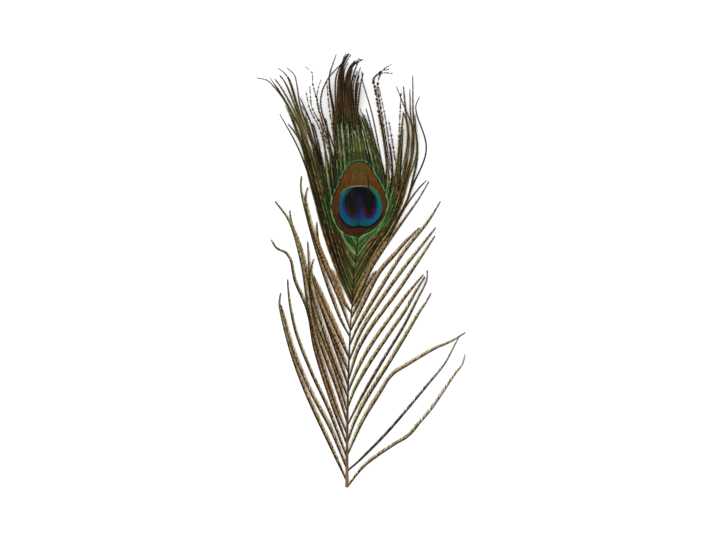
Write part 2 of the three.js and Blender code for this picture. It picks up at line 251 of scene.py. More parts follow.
class Fibres:
    """Gathers the quills and barbules of one piece, and makes one mesh of them.

    Its points carry marks for the materials: lie is the place along and beside the barb and the barb's own
    number, reach is 0 at the quill and 1 at a barbule's tip, share is that of the barb's length, tint is a
    random number for each barbule, quill is 1 on quills, hue is -1 for warm and 1 for green, and shade is
    -1 for pale and 1 for black. place is where the point goes on the map that the export bakes, on which
    each barb has a row of its own.
    """

    def __init__(self, name):
        self.name = name
        self.parts = []
        self.count = 0
        self.row = -1

    def begin(self, own, hue, shade):
        """Starts a barb. own sets its noise, and hue and shade are functions of the share of its length."""
        self.own = own
        self.hue = hue
        self.shade = shade
        self.row += 1

    def add(self, points, faces, smooth, along, side, share, reach, tint, quill, place):
        """Adds points with their marks, and the faces between them."""
        self.parts.append({
            "points": points,
            "faces": faces + self.count,
            "smooth": np.full(len(faces), smooth),
            "lie": np.stack([along, side, np.full(len(points), float(self.own))], 1),
            "place": np.stack([place[0], place[1] + self.row], 1),
            "reach": reach,
            "share": share,
            "tint": tint,
            "quill": np.full(len(points), float(quill)),
            "hue": self.hue(share),
            "shade": self.shade(share),
        })
        self.count += len(points)

    def tube(self, route, along, half_width, half_height, shift=0.0, rise=0.0, sides=QUILL_SIDES):
        """A closed tube round the route, with its half width and half height at each length in along."""
        turn = np.arange(sides) * math.tau / sides
        side = (shift + half_width[:, None] * np.cos(turn)).ravel()
        height = (np.reshape(rise, (-1, 1)) + half_height[:, None] * np.sin(turn)).ravel()
        far = np.repeat(along, sides)
        points = route.beside(far, side, height)
        around = np.tile(np.arange(sides) / sides, len(along))
        none = np.zeros(len(far))
        place = (0.01 + 0.98 * far / along[-1], 0.9 + 0.08 * around)
        faces = tube_faces(len(along), sides)
        self.add(points, faces, True, far, side, far / along[-1], none, none + 0.5, 1, place)

    def quill(self, route, radius, end=None, shift=0.0):
        """A tapered quill. radius gives its radius at a share of its length."""
        end = end or route.length
        along = np.linspace(0, end, max(4, int(end / QUILL_STEP)))
        radii = radius(along / end)
        self.tube(route, along, radii, radii, shift)

    def barbules(self, route, rng, fringe, side, reach, gap, start=0.0, end=None):
        """A fringe on one side of the route. side is 1 for its left and -1 for its right.

        reach gives the fringe's width, and gap the share left out between tufts, at a share of the length.
        """
        end = end or route.length
        root = np.arange(start, end, fringe.spacing)
        root = root + rng.uniform(-0.4, 0.4, len(root)) * fringe.spacing
        in_tuft = (root / fringe.clump_length + 0.3 * np.sin(0.7 * root + self.own)) % 1
        root = root[(in_tuft > gap(root / end)) | (rng.random(len(root)) < fringe.stray)]
        count = len(root)
        wide = reach(root / end) * rng.uniform(0.7, 1.2, count)
        forward = wide / math.tan(math.radians(fringe.lean)) * rng.uniform(0.8, 1.2, count)
        tuft = (np.floor(root / fringe.clump_length) + 0.75) * fringe.clump_length
        forward = forward + fringe.clump * (tuft - root)
        size = np.hypot(forward, wide)
        share_out = np.array([0, 0, 0.6, 0.6, 1])
        half_width = np.array([-1, 1, -0.8, 0.8, 0]) * fringe.width / 2
        along = root[:, None] + forward[:, None] * 0.85 * share_out + (wide / size)[:, None] * half_width
        out = side * (wide[:, None] * share_out - (forward / size)[:, None] * half_width)
        up = (fringe.tilt * rng.uniform(-0.6, 1.0, count))[:, None] * np.abs(out)
        along = along.ravel()
        out = out.ravel()
        points = route.beside(along, out, up.ravel())
        place = (0.01 + 0.98 * along / (end + 4), 0.44 + 0.42 * out / (np.abs(out).max() + 0.01))
        faces = blade_faces(count, side > 0)
        tint = np.repeat(rng.random(count), len(share_out))
        self.add(points, faces, False, along, out, along / end, np.tile(share_out, count), tint, 0, place)

    def gather(self, name):
        """One kind of value from all the parts, in one array."""
        return np.concatenate([part[name] for part in self.parts])

    def mesh(self, material, painted=False):
        """The finished piece. A painted one carries the eye's pattern, and its map is the plan."""
        points = self.gather("points")
        faces = self.gather("faces")
        mesh = bpy.data.meshes.new(self.name)
        mesh.vertices.add(len(points))
        mesh.vertices.foreach_set("co", (points * MM).ravel())
        mesh.loops.add(faces.size)
        mesh.loops.foreach_set("vertex_index", faces.ravel())
        mesh.polygons.add(len(faces))
        mesh.polygons.foreach_set("loop_start", np.arange(0, faces.size, 3))
        mesh.polygons.foreach_set("use_smooth", self.gather("smooth"))
        mesh.update(calc_edges=True)
        for name in ("reach", "share", "tint", "quill", "hue", "shade"):
            write(mesh, name, "FLOAT", self.gather(name))
        write(mesh, "lie", "FLOAT_VECTOR", self.gather("lie"))
        places = self.gather("place") / (1, self.row + 1)
        if painted:
            plan = (points - CUT_END)[:, :2]
            write(mesh, "plan", "FLOAT_VECTOR", np.column_stack([plan, points[:, 2]]))
            depths = [inside(plan, outline) for outline in (EYE, RING, HEART)]
            write(mesh, "pattern", "FLOAT_VECTOR", np.stack(depths, 1))
            spread = (plan - plan.min(axis=0)) / np.ptp(plan, axis=0)
            places = 0.01 + spread * (0.48, 0.98) + np.outer(self.gather("quill"), (0.5, 0))
        mesh.uv_layers.new(name="OFBake").data.foreach_set("uv", places[faces.ravel()].ravel())
        mesh.materials.append(material)
        piece = bpy.data.objects.new(self.name, mesh)
        bpy.context.collection.objects.link(piece)
        return piece


def write(mesh, name, kind, values):
    """Puts one mark on all the mesh's points."""
    field = "vector" if kind == "FLOAT_VECTOR" else "value"
    mesh.attributes.new(name, kind, "POINT").data.foreach_set(field, values.ravel())


def show(piece, slot, *nodes):
    """Shows a piece in place of the CAD nodes."""
    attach(piece, "root")
    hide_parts(*nodes)


# ---------------- materials

def rgb(code):
    """A colour written as it looks on a screen, as Blender's linear values."""
    parts = [int(code[k:k + 2], 16) / 255 for k in (1, 3, 5)]
    return [(p / 12.92 if p <= 0.04045 else ((p + 0.055) / 1.055) ** 2.4) for p in parts] + [1.0]


class Look:
    """A material, with short calls for the nodes it is made of.

    values holds what the edges of its zones are measured on, and colour what has been laid so far.
    """

    def __init__(self, name, roughness, specular):
        self.material = bpy.data.materials.new(name)
        self.material.use_nodes = True
        self.tree = self.material.node_tree
        self.surface = self.tree.nodes["Principled BSDF"]
        self.surface.inputs["Roughness"].default_value = roughness
        self.surface.inputs["Specular IOR Level"].default_value = specular
        self.values = {}
        self.colour = None

    def node(self, kind, **inputs):
        """A new node, with its inputs set."""
        node = self.tree.nodes.new(kind)
        for name, value in inputs.items():
            self.feed(node.inputs[name], value)
        return node

    def feed(self, socket, value):
        """Sets a socket to another node's output, to a colour's code or to a number."""
        if isinstance(value, bpy.types.NodeSocket):
            self.tree.links.new(value, socket)
        elif isinstance(value, str):
            socket.default_value = rgb(value)
        else:
            socket.default_value = value

    def mark(self, name, part=None):
        """A mark that the mesh carries, or one part of it where it is a vector."""
        node = self.node("ShaderNodeAttribute")
        node.attribute_name = name
        if part is None:
            return node.outputs["Fac"]
        return self.node("ShaderNodeSeparateXYZ", Vector=node.outputs["Vector"]).outputs[part]

    def calc(self, operation, first, second=0.0):
        """The result of one step of arithmetic."""
        node = self.node("ShaderNodeMath")
        node.operation = operation
        self.feed(node.inputs[0], first)
        self.feed(node.inputs[1], second)
        return node.outputs[0]

    def shifted(self, value, other, middle, strength):
        """The value moved by how far the other lies from the middle, times the strength."""
        move = self.calc("MULTIPLY", self.calc("SUBTRACT", other, middle), strength)
        return self.calc("ADD", value, move)

    def between(self, value, low, high):
        """0 at low, 1 at high and smooth between them. low may be the higher of the two."""
        node = self.node("ShaderNodeMapRange", Value=value)
        node.interpolation_type = "SMOOTHSTEP"
        falls = low > high
        node.inputs["From Min"].default_value = min(low, high)
        node.inputs["From Max"].default_value = max(low, high)
        node.inputs["To Min"].default_value = float(falls)
        node.inputs["To Max"].default_value = float(not falls)
        return node.outputs["Result"]

    def zone(self, strength=1.0, **edges):
        """The strength where all the named values are inside their edges, and 0 outside.

        Two edges are where the zone begins and where it is full. Four are a band, full in its middle.
        """
        shares = []
        for name, limits in edges.items():
            shares.append(self.between(self.values[name], limits[0], limits[1]))
            if len(limits) == 4:
                shares.append(self.between(self.values[name], limits[3], limits[2]))
        if strength < 1:
            shares.append(strength)
        product = shares[0]
        for share in shares[1:]:
            product = self.calc("MULTIPLY", product, share)
        return product

    def lay(self, colour, **edges):
        """Lays a colour over what is there, in the zone with these edges."""
        self.colour = self.mix(self.zone(**edges), self.colour, colour)

    def ramp(self, value, low, high, *codes):
        """Colours spread evenly from low to high."""
        where = self.node("ShaderNodeMapRange", Value=value)
        where.inputs["From Min"].default_value = low
        where.inputs["From Max"].default_value = high
        node = self.node("ShaderNodeValToRGB", Fac=where.outputs["Result"])
        stops = node.color_ramp.elements
        while len(stops) < len(codes):
            stops.new(0.5)
        for k, code in enumerate(codes):
            stops[k].position = k / (len(codes) - 1)
            stops[k].color = rgb(code)
        return node.outputs["Color"]

    def mix(self, share, first, second, mode="MIX"):
        """The first colour where the share is 0 and the second where it is 1."""
        node = self.node("ShaderNodeMix")
        node.data_type = "RGBA"
        node.blend_type = mode
        # The node has sockets for each type of data. 6, 7 and the output 2 are those for colours.
        self.feed(node.inputs[0], share)
        self.feed(node.inputs[6], first)
        self.feed(node.inputs[7], second)
        return node.outputs[2]

    def streaks(self, along, across, own, detail=2.0, seed=0.0):
        """Noise drawn out along the barb, mostly 0.3 to 0.7. along and across are its sizes in mm."""
        lie = self.node("ShaderNodeAttribute")
        lie.attribute_name = "lie"
        scaled = self.node("ShaderNodeVectorMath", Vector=lie.outputs["Vector"])
        scaled.operation = "MULTIPLY_ADD"
        scaled.inputs[1].default_value = (1 / along, 1 / across, own)
        scaled.inputs[2].default_value = (seed, seed, 0)
        noise = self.node("ShaderNodeTexNoise", Vector=scaled.outputs[0], Scale=1.0, Detail=detail)
        return noise.outputs["Fac"]

    def finish(self, colour, height=None, depth=0.00005):
        """The material with its colour and a bump of the given depth in metres."""
        self.feed(self.surface.inputs["Base Color"], colour)
        if height is not None:
            bump = self.node("ShaderNodeBump", Height=height, Distance=depth)
            self.feed(self.surface.inputs["Normal"], bump.outputs["Normal"])
        return self.material


def fringe_material(name, quill, warm, plain, green, tip):
    """A barb: a dark quill and fringes that lighten outwards. warm, plain and green are each the colour
    beside the quill and the colour at the barbules' tips."""
    look = Look(name, roughness=0.6, specular=0.08)
    reach = look.mark("reach")
    hue = look.shifted(look.mark("hue"), look.streaks(11, 4, 7.0), 0.5, 2.4)
    near = look.ramp(hue, -1, 1, warm[0], plain[0], green[0])
    far = look.ramp(hue, -1, 1, warm[1], plain[1], green[1])
    look.values = {
        "reach": reach,
        "outward": look.shifted(reach, look.mark("tint"), 0.0, 0.35),
        "tufts": look.streaks(1.3, 0.8, 5.0, seed=3),
        "shade": look.mark("shade"),
        "share": look.mark("share"),
    }
    look.colour = near
    look.lay(far, outward=(0.15, 1.15))
    look.lay(far, tufts=(0.52, 0.62))
    look.lay(quill, tufts=(0.5, 0.4), strength=0.85)
    # Painted shade along the quill: the barbules next to it are darkened towards the quill's colour, so the
    # dark line is wider than the quill.
    look.lay(quill, reach=(0.3, 0.0), strength=0.7)
    look.colour = look.mix(look.mark("quill"), look.colour, look.mix(0.12, quill, near))
    look.lay(quill, shade=(0, 1), strength=0.9)
    look.lay("#b39c72", shade=(0, -1), strength=0.8)
    look.lay(tip, share=(0.9, 1.0), strength=0.8)
    return look.finish(look.colour, look.streaks(2.5, 0.3, 3.0, seed=4))


class VaneLook(Look):
    """The vane's material: the eye's pattern, and the greens and browns round it.

    painted() lays its zones over one another, from the outermost in. Of its values, y is the way to the
    feather's tip, off_middle the way to the right of the eye's middle, and eye, ring and heart are how far
    inside those outlines a place is.
    """

    def __init__(self):
        super().__init__("eye_vane", roughness=0.6, specular=0.05)
        tint = self.mark("tint")
        hue = self.mark("hue")
        x = self.mark("plan", "X")
        self.y = self.mark("plan", "Y")
        self.fine = self.streaks(2.8, 0.5, 5.0)
        tone = self.shifted(self.mark("shade"), self.fine, 0.5, 3.6)
        tone = self.shifted(tone, self.streaks(11, 0.9, 7.0, seed=5), 0.5, 2.0)
        self.tone = self.shifted(tone, tint, 0.5, 0.5)
        greenness = self.shifted(hue, self.streaks(28, 4, 3.0, seed=9), 0.5, 3.0)
        eye = self.shifted(self.mark("pattern", "X"), hue, 0.0, 0.25)
        self.off_middle = self.calc("SUBTRACT", x, MIDLINE)
        from_lowest = self.calc("ABSOLUTE", self.calc("ADD", self.off_middle, 3.0))
        from_below = self.shifted(eye, self.between(from_lowest, 9, 3), 0.0, 7.5)
        from_shaft = self.shifted(self.calc("SUBTRACT", x, 7.0), self.y, 160, -0.075)
        self.values = {
            "y": self.y,
            "ragged_y": self.shifted(self.y, hue, 0.0, 3.0),
            "tufted_y": self.shifted(self.y, hue, 0.0, 5.0),
            "off_middle": self.off_middle,
            "spread": self.calc("ABSOLUTE", self.off_middle),
            "from_shaft": self.calc("ABSOLUTE", from_shaft),
            "seam": self.shifted(x, self.y, 203.6, 0.05),
            "greenness": self.shifted(greenness, self.between(self.y, 165, 215), 0.6, 0.8),
            "fine": self.fine,
            "tone": self.tone,
            "eye": eye,
            "eye_from_below": self.shifted(from_below, self.off_middle, 0.0, 0.11),
            "ring": self.shifted(self.mark("pattern", "Y"), tint, 0.5, 0.4),
            "heart": self.shifted(self.mark("pattern", "Z"), tint, 0.5, 0.8),
        }

    def toned(self, *codes):
        """Colours from the palest fibres to the darkest."""
        return self.ramp(self.tone, -1, 1, *codes)

    def across(self, half, *codes):
        """Colours from left to right, as far as half mm to each side of the eye's middle."""
        return self.ramp(self.off_middle, -half, half, *codes)

    def painted(self):
        """The material, with all its zones laid."""
        self.plain_barbs()
        self.greens()
        self.over_eye()
        self.rim()
        self.bronze_field()
        self.ring_edge()
        self.blue_ring()
        self.dark_heart()
        self.seam()
        return self.finish(self.colour, self.fine)

    def plain_barbs(self):
        """Brown and olive barbs, away from the eye."""
        self.colour = self.toned("#a48a5c", "#6c5632", "#42331a", "#241a0c", "#0e0904")
        self.lay(self.toned("#848458", "#575c34", "#373e1b", "#1e240d", "#0c0e05"), greenness=(-0.1, 0.8))

    def greens(self):
        """Greens above the eye, beside it, along the shaft in two parts, and close under the eye."""
        self.lay(self.toned("#a4a484", "#686c46", "#404626", "#22290f", "#0c1006"),
                 y=(190, 205), off_middle=(-24, -17, 10, 16))
        self.lay(self.toned("#6c7e50", "#445a2e", "#2a401b", "#18290e", "#0a1405"),
                 eye=(-9, -3), y=(164, 172))
        self.lay(self.toned("#7e8250", "#565c2e", "#383e1a", "#1d220d"),
                 from_shaft=(10, 4), y=(122, 135, 162, 168), strength=0.85)
        self.lay(self.toned("#6c8a4c", "#3c5a22", "#223210"), from_shaft=(6, 1), y=(148, 160, 166, 172))
        self.lay(self.toned("#668850", "#527440", "#3f602e", "#2a481e", "#1a3010"),
                 eye_from_below=(-3.4, -1.8), y=(180, 168))

    def over_eye(self):
        """The green patch and the dark block over the eye, the brown tuft at the tip and a purple tinge."""
        middle = (-7, -5, 2, 4.5)
        self.lay(self.toned("#7e864c", "#5c6636", "#465024", "#303816"),
                 ragged_y=(216, 218, 221, 229), off_middle=middle)
        self.lay(self.toned("#4e5428", "#363c19", "#2e3212"), y=(211, 212, 217.6, 218.6), off_middle=middle)
        self.lay(self.toned("#6a4a30", "#3e2818", "#26180c", "#160e06", "#0a0603"),
                 tufted_y=(242, 246), spread=(26, 20))
        self.lay("#2c2028", eye=(-5, -3.5, -1.6, -0.6), y=(196, 199, 203, 206), strength=0.6)

    def rim(self):
        """The pale line round the eye, and the dark one inside it."""
        pale = self.ramp(self.y, 163, 212, "#648c52", "#6e8a54", "#6a8250", "#487a54")
        self.lay(pale, eye=(-1.1, -0.85, -0.5, -0.3), tone=(1.4, 0.3))
        self.lay("#1c1a0c", eye=(-0.3, 0.0, 0.3, 0.7))

    def bronze_field(self):
        bronze = self.ramp(self.y, 162, 211,
                           "#2e140d", "#361a0f", "#442610", "#4a2c0f", "#563410", "#563812")
        reddish = self.zone(0.35, fine=(0.5, 0.62), off_middle=(-6, 2), y=(192, 198))
        bronze = self.mix(reddish, bronze, "#6a2c12")
        olive = self.ramp(self.fine, 0.35, 0.65, "#483a14", "#58441c")
        bronze = self.mix(self.zone(ragged_y=(196, 202), spread=(7, 4)), bronze, olive)
        bronze = self.mix(self.zone(0.5, fine=(0.52, 0.7)), bronze, "#7c4a20")
        bronze = self.mix(self.zone(0.7, fine=(0.47, 0.33)), bronze, "#2e1a0a")
        self.lay(bronze, eye=(0.3, 0.7))

    def ring_edge(self):
        """The line round the blue ring, dark under it and green over it."""
        self.lay("#0c0c08", ring=(-1.8, -1.1), y=(180, 174))
        self.lay(self.across(13, "#2c5c44", "#76865e", "#2e5c2c"), ring=(-0.9, -0.5), y=(188, 193))

    def blue_ring(self):
        blue = self.across(13, "#044452", "#05365a", "#0b2e5c", "#132654", "#083a5a", "#05585c", "#046252")
        outer = self.across(13, "#085a66", "#0e4c56", "#066058")
        top = self.across(12, "#1a6c5c", "#0c3c3a", "#060e10", "#0c4030", "#1a7a48")
        blue = self.mix(self.zone(0.7, ring=(2.2, 0.6)), blue, outer)
        flanks = self.zone(0.7, y=(184, 178), spread=(3, 7), ring=(0.3, 1.2))
        blue = self.mix(flanks, blue, "#0c4678")
        blue = self.mix(self.zone(0.8, y=(176, 171), spread=(10, 5)), blue, "#0e4846")
        blue = self.mix(self.zone(y=(186, 192)), blue, top)
        blue = self.mix(self.zone(0.6, ring=(0.7, 0.0)), blue, "#082424")
        blue = self.mix(self.zone(heart=(-2.0, -0.4), y=(194, 188)), blue, "#162454")
        self.lay(blue, ring=(-0.3, 0.2))

    def dark_heart(self):
        """The notched heart, reddish in its two lobes, olive on the left and violet in the middle."""
        lobes = self.zone(y=(188, 178), heart=(3.4, 0.8), spread=(0.5, 2.5), fine=(0.38, 0.55))
        dark = self.mix(lobes, "#0a090c", "#3a1416")
        dark = self.mix(self.zone(0.6, off_middle=(-2, -4), fine=(0.5, 0.56)), dark, "#1e2208")
        dark = self.mix(self.zone(0.7, spread=(4, 0.5), y=(194, 184)), dark, "#1c1838")
        self.lay(dark, heart=(-0.5, 0.5))

    def seam(self):
        """A seam between two barbs across the eye: a pale line, and a dark one to the right of it."""
        self.lay("#5c4a34", seam=(12.5, 12.8, 13.0, 13.3), y=(193, 196, 202, 204), strength=0.85)
        self.lay("#0a1410", seam=(12.9, 13.2, 13.7, 14.1), y=(184, 187, 202, 204), strength=0.85)


def shaft_material():
    """Smooth keratin with a fine grain, pale at the cut end and nearly black under the eye."""
    look = Look("shaft", roughness=0.5, specular=0.08)
    grain = look.streaks(14, 0.18, 1.0)
    light = look.ramp(look.mark("share"), 0, 1,
                      "#846d52", "#645036", "#4a3a26", "#281e10", "#100b05", "#0a0c04", "#0a1004")
    colour = look.mix(look.between(grain, 0.42, 0.6), light, look.mix(1.0, light, "#8c7c68", "MULTIPLY"))
    return look.finish(colour, grain, 0.0001)


def floor_material():
    look = Look("floor", roughness=0.9, specular=0.1)
    noise = look.node("ShaderNodeTexNoise", Scale=6.0, Detail=3.0)
    return look.finish(look.ramp(noise.outputs["Fac"], 0, 1, "#f6f6f6", "#fbfbfb"))


BARB_LOOK = fringe_material(
    "barb", quill="#160c04", tip="#2e2416",
    warm=("#482a12", "#aa7c50"), plain=("#443214", "#bc9e62"), green=("#424414", "#a8a450"),
)
CROWN_LOOK = fringe_material(
    "crown_strand", quill="#140b04", tip="#281e10",
    warm=("#34190a", "#8a5e34"), plain=("#2e210c", "#947644"), green=("#2c300e", "#7a7c38"),
)
VANE_LOOK = VaneLook().painted()
SHAFT_LOOK = shaft_material()


# ---------------- the feather

BARB_FRINGE = Fringe(spacing=0.14, lean=30, width=0.18, clump=0.4, clump_length=2.1)
BARB_UNDER_FRINGE = Fringe(spacing=0.18, lean=36, width=0.17)
STRAND_FRINGE = Fringe(spacing=0.15, lean=34, width=0.19, clump=0.5)
DOTTED_FRINGE = Fringe(spacing=0.12, lean=48, width=0.24, clump=0.6, clump_length=2.7, stray=0.02)
VANE_FRINGE = Fringe(spacing=0.28, lean=30, width=0.32, clump=0.2, tilt=0.1)

# The radius of a quill and the width of a fringe, as levels from root to tip.
BARB_RADIUS = (0.36, 0.36, 0.34, 0.28, 0.2)
BARB_BROAD_SIDE = (0.5, 1.7, 2.2, 2.2, 2.1, 2.1, 2.0, 1.8, 1.3, 0.5)
BARB_NARROW_SIDE = (0.3, 0.6, 0.8, 0.75, 0.7, 0.7, 0.6, 0.3)
STRAND_RADIUS = (0.34, 0.33, 0.31, 0.28, 0.2)
STRAND_SIDE = (0.2, 0.6, 0.8, 0.8, 0.75, 0.7, 0.6, 0.45)
VANE_RADIUS = (0.24, 0.22, 0.2, 0.18, 0.1)
VANE_SIDE = (0.7, 0.75, 0.6, 0.55, 0.55, 0.55, 0.55, 0.5, 0.3)
VANE_GAP = (0, 0, 0, 0.1, 0.3, 0.55)
BESIDE_SHAFT_SIDE = (1.2, 2.2, 2.2, 1.2)
PALE_QUILL_RADIUS = (0.3, 0.3, 0.2)

BARB_START = 0.8  # where a loose barb's fringe begins, from the middle of the shaft
VANE_START = 0.2  # the same for a barb of the vane
QUILL_SHIFT = 0.4  # how far a loose barb's quill is from its middle, away from the upper fringe

# How high the roots are over the floor.
BARB_ROOT = 0.5
STRAND_ROOT = 1.2
FILLER_ROOT = 1.3
BESIDE_SHAFT_ROOT = 0.2
VANE_ROOT = 0.25
VANE_ROOT_OVER_SHAFT = 0.95
THIN_SHAFT = 162  # from here on the vane's barbs start over the shaft
VANE_LOWEST = 0.3  # the height of the vane's lowest barbs, away from the shaft
VANE_DEPTH = 0.5  # and how far over them the highest are

SHAFT_POINTS = 90
SHAFT_SIDES = 12
SHAFT_HALF_HEIGHT = 0.45  # a share of its width

# Where the random numbers of each kind of piece begin.
BARB_SEED = 100
STRAND_SEED = 300
LEFT_VANE_SEED = 500
RIGHT_VANE_SEED = 501

# Where the barbs' own numbers begin, which set their noise, and the steps between them.
PALE_QUILL_OWN = 7.0
STRAND_OWN = 40.0
FILLER_OWN = 50
FILLER_OWN_STEP = 9.7
BESIDE_SHAFT_OWN = 60.0
VANE_OWN = 80.0
VANE_OWN_STEP = 3.7

PLAIN_BARB = {"wide": (1.0,), "hue": (0, 0), "shade": (0.1, 0), "gap": (0.1, 0.2), "above": (1.0,)}
# What sets single barbs apart, by their numbers, each as levels from root to tip: fringe width against the
# usual, hue, shade, the share left out between the fringe's tufts, and how far the broader fringe is the
# upper one.
RIGHT_STYLES = {
    1: {"wide": (0.9,), "hue": (0.5, 0.2, 0, 0.3), "gap": (0.3, 0.4)},
    2: {"wide": (0.6,), "hue": (0, -0.2, 0, 0.8), "shade": (0.8, 0.8, 0.7, 0.2),
        "gap": (0, 0.3, 0.3)},
    3: {"hue": (0.5, 0.1, 0, 0.3)},
    4: {"hue": (0.8, 0, -0.2, 0.8, 1)},
    5: {"wide": (0.7,), "hue": (0.8, -0.3, -0.3, 0), "shade": (0.1, 0.7, 0.7, 0.6, 0.2)},
    6: {"hue": (1, 1, 0, 0.3, -0.2)},
    7: {"hue": (1, 0.2, 0, 0, 0), "gap": (0.2, 0.2)},
    8: {"hue": (0.3, -0.3, 0, 0.6), "shade": (0.2, 0.3, 0.1)},
    9: {"hue": (0.8, 0.6, -0.3, 0.6, 0.8)},
    10: {"hue": (0.3, 0, 0, 0.7)},
    11: {"hue": (0, -0.6, -0.6, -0.2), "shade": (0.1, 0.2), "wide": (1.4, 1.3, 1)},
    12: {"shade": (0.2, 0.3), "wide": (1.2,)},
    13: {"hue": (0, -0.3, 0, 0.2), "shade": (0.3, 0.3, 0.4), "wide": (1.5, 1.5, 0.6, 0.5)},
}
LEFT_STYLES = {
    1: {"hue": (-0.2, -0.1, -0.3, 0.2), "shade": (0.3, 0.2, 0, 0)},
    2: {"hue": (-0.2, 0.1, -0.3, 0.2), "shade": (0.3, 0.2, 0, 0)},
    3: {"hue": (0, 0, 0.4, 0.4), "shade": (0.2, 0.4, 0.4, 0.3), "wide": (0.85,)},
    4: {"hue": (-0.4, -0.5, 0, 0.4), "shade": (0.2, 0.1, 0.5, 0.5)},
    5: {"hue": (-0.4, -0.6, 0.2, 0.6), "shade": (0.2, 0.2, 0.4, 0.2)},
    6: {"hue": (-0.4, -0.6, -0.2, 0.6), "shade": (0.2, 0.1, 0.3, 0.2)},
    7: {"hue": (-0.3, -0.6, 0.2, 0.2), "shade": (0.2, 0.1, 0.4, 0.2)},
    8: {"hue": (-0.3, -0.5, 0.2, 0.2), "shade": (0.1, 0.1, 0.4, 0.2)},
    9: {"hue": (-0.2, -0.5, -0.2, 0), "shade": (0.1, 0.1, 0.4, 0.3)},
    10: {"hue": (-0.2, -0.5, -0.5, -0.2), "wide": (1.2,)},
    11: {"hue": (-0.2, -0.4, -0.3), "wide": (1.4,)},
    12: {"hue": (0, -0.4, 0.1, 0.8), "shade": (0.2, 0.3, 0.3), "wide": (0.9,)},
    13: {"hue": (0, -0.5, 0, 0.6), "shade": (0.2, 0.2, 0.3), "wide": (1.1,)},
    14: {"hue": (0, -0.3, 0, 0.4), "shade": (0.2, 0.2, 0.3), "wide": (1.4, 1.9, 1.9, 1),
        "above": (1, 1, 1, 0, 0, 0, 0)},
}

# Kinds of crown strand, by the same levels. quill is the quill's thickness against the usual.
PLAIN_STRAND = {"wide": (1.0,), "quill": 1.0, "hue": (0.3, 0, 0), "shade": (0.2, 0.4), "gap": (0.1, 0.2),
                "fringe": STRAND_FRINGE}
DOTTED = {"quill": 0.65, "wide": (1.1,), "shade": (0.3, 0.6), "gap": (0.5, 0.55), "fringe": DOTTED_FRINGE}
DARK_DOTTED = {**DOTTED, "quill": 0.9, "wide": (0.5, 0.6, 1.4, 1.7, 0.9), "hue": (0, -0.5, -0.3),
               "gap": (0.5, 0.4), "shade": (0.2, 0.4, 0.7)}
TUFT = {"quill": 0.9, "wide": (1.1,), "hue": (1.6, 0.2, -0.6, -0.9, -1), "gap": (0.1, 0.3),
        "shade": (0.3, 0.6, 0.8, 0.8, 0.9)}
DARK_LINE = {"quill": 1.8, "wide": (0.6,), "shade": (0.5, 0.7)}
OLIVE = {"quill": 1.1, "wide": (0.85,), "hue": (0.7, 0.5, 0.2), "shade": (-0.3, 0, 0.6)}
# What sets single strands apart, by their numbers.
STRAND_STYLES = {
    **dict.fromkeys((1, 7, 29), DARK_LINE),
    **dict.fromkeys((3, 6, 26), OLIVE),
    **dict.fromkeys((8, 9, 12, 23, 25), DOTTED),
    **dict.fromkeys((13, 14, 15, 16, 17), TUFT),
    **dict.fromkeys((20, 21), DARK_DOTTED),
    2: {"quill": 1.3, "shade": (0.5, 0.6)},
    4: {**OLIVE, "wide": (1.1, 1.1, 0.9, 0.7)},
    5: {**OLIVE, "wide": (1.2, 1.5, 1.2, 0.7)},
    10: {"quill": 1.2, "gap": (0.3, 0.3), "shade": (0.2, 0.6)},
    11: {"hue": (0.2, -0.6, -0.4)},
    18: {"wide": (0.8,), "quill": 1.2, "gap": (0.4, 0.4), "hue": (0, -0.4), "shade": (0.3, 0.7)},
    19: {"gap": (0.2, 0.2)},
    22: {**DOTTED, "wide": (0.8,)},
    24: {"wide": (1.3,), "hue": (0.5, 0.6, 0.5), "shade": (-0.1, -0.1)},
    27: {**OLIVE, "wide": (1.3,)},
    28: {**OLIVE, "wide": (1.1,)},
    30: {"quill": 1.4, "shade": (0.4, 0.6)},
}
# How far back over the vane a crown strand starts, where that isn't the usual.
USUAL_START = 4.0
STARTS = {1: 14, 7: 10, 8: 16, 9: 10, 10: 14, 11: 16, 12: 20, 13: 16, 14: 18, 15: 16, 16: 16, 17: 14,
          18: 10, 20: 6, 21: 6}
# Strands between two strips of the CAD model, made as part of the first: how many, and how far back they
# start.
FILLERS = {
    (3, 4): (1, 4), (4, 5): (2, 6), (5, 6): (1, 8), (9, 7): (2, 10), (9, 10): (1, 4),
    (11, 13): (3, 14), (13, 14): (6, 12), (14, 15): (10, 13), (15, 16): (6, 12), (16, 17): (4, 12),
    (20, 21): (1, 0), (26, 27): (1, 4), (27, 28): (1, 4),
}
FILLER_POINTS = 12
FILLER_BEND = 3.0  # how far its tip is moved aside, as a standard deviation

VANE_SHADES = (-0.5, 0.1, 0.45, 0.75, 1.05)  # taken in turn by neighbouring barbs
# Three barbs above the eye whose bare quills shine, and their heights.
PALE_QUILLS = [
    [(0, 241.8), (0.9, 229), (1.6, 216.8)],
    [(3.9, 232), (5.6, 229), (7.2, 225.5)],
    [(9.8, 232), (11.2, 226), (12.3, 219)],
]
PALE_QUILL_HEIGHTS = [1.3, 1.3, 1.1]


def begun_earlier(middles, back, height):
    """The strip's route, begun `back` mm before the strip, at the given height."""
    toward = middles[0] - middles[1]
    start = middles[0] + back * toward / np.linalg.norm(toward)
    start[2] = height
    return Route(np.vstack([start, middles]))


def begun_on_shaft(middles):
    """The strip's route, begun at the middle of the shaft."""
    plan = middles - CUT_END
    step = plan[0] - plan[1]
    back = (shaft_x(plan[0, 1]) - plan[0, 0]) / step[0] * np.linalg.norm(step)
    return begun_earlier(middles, back, BARB_ROOT)


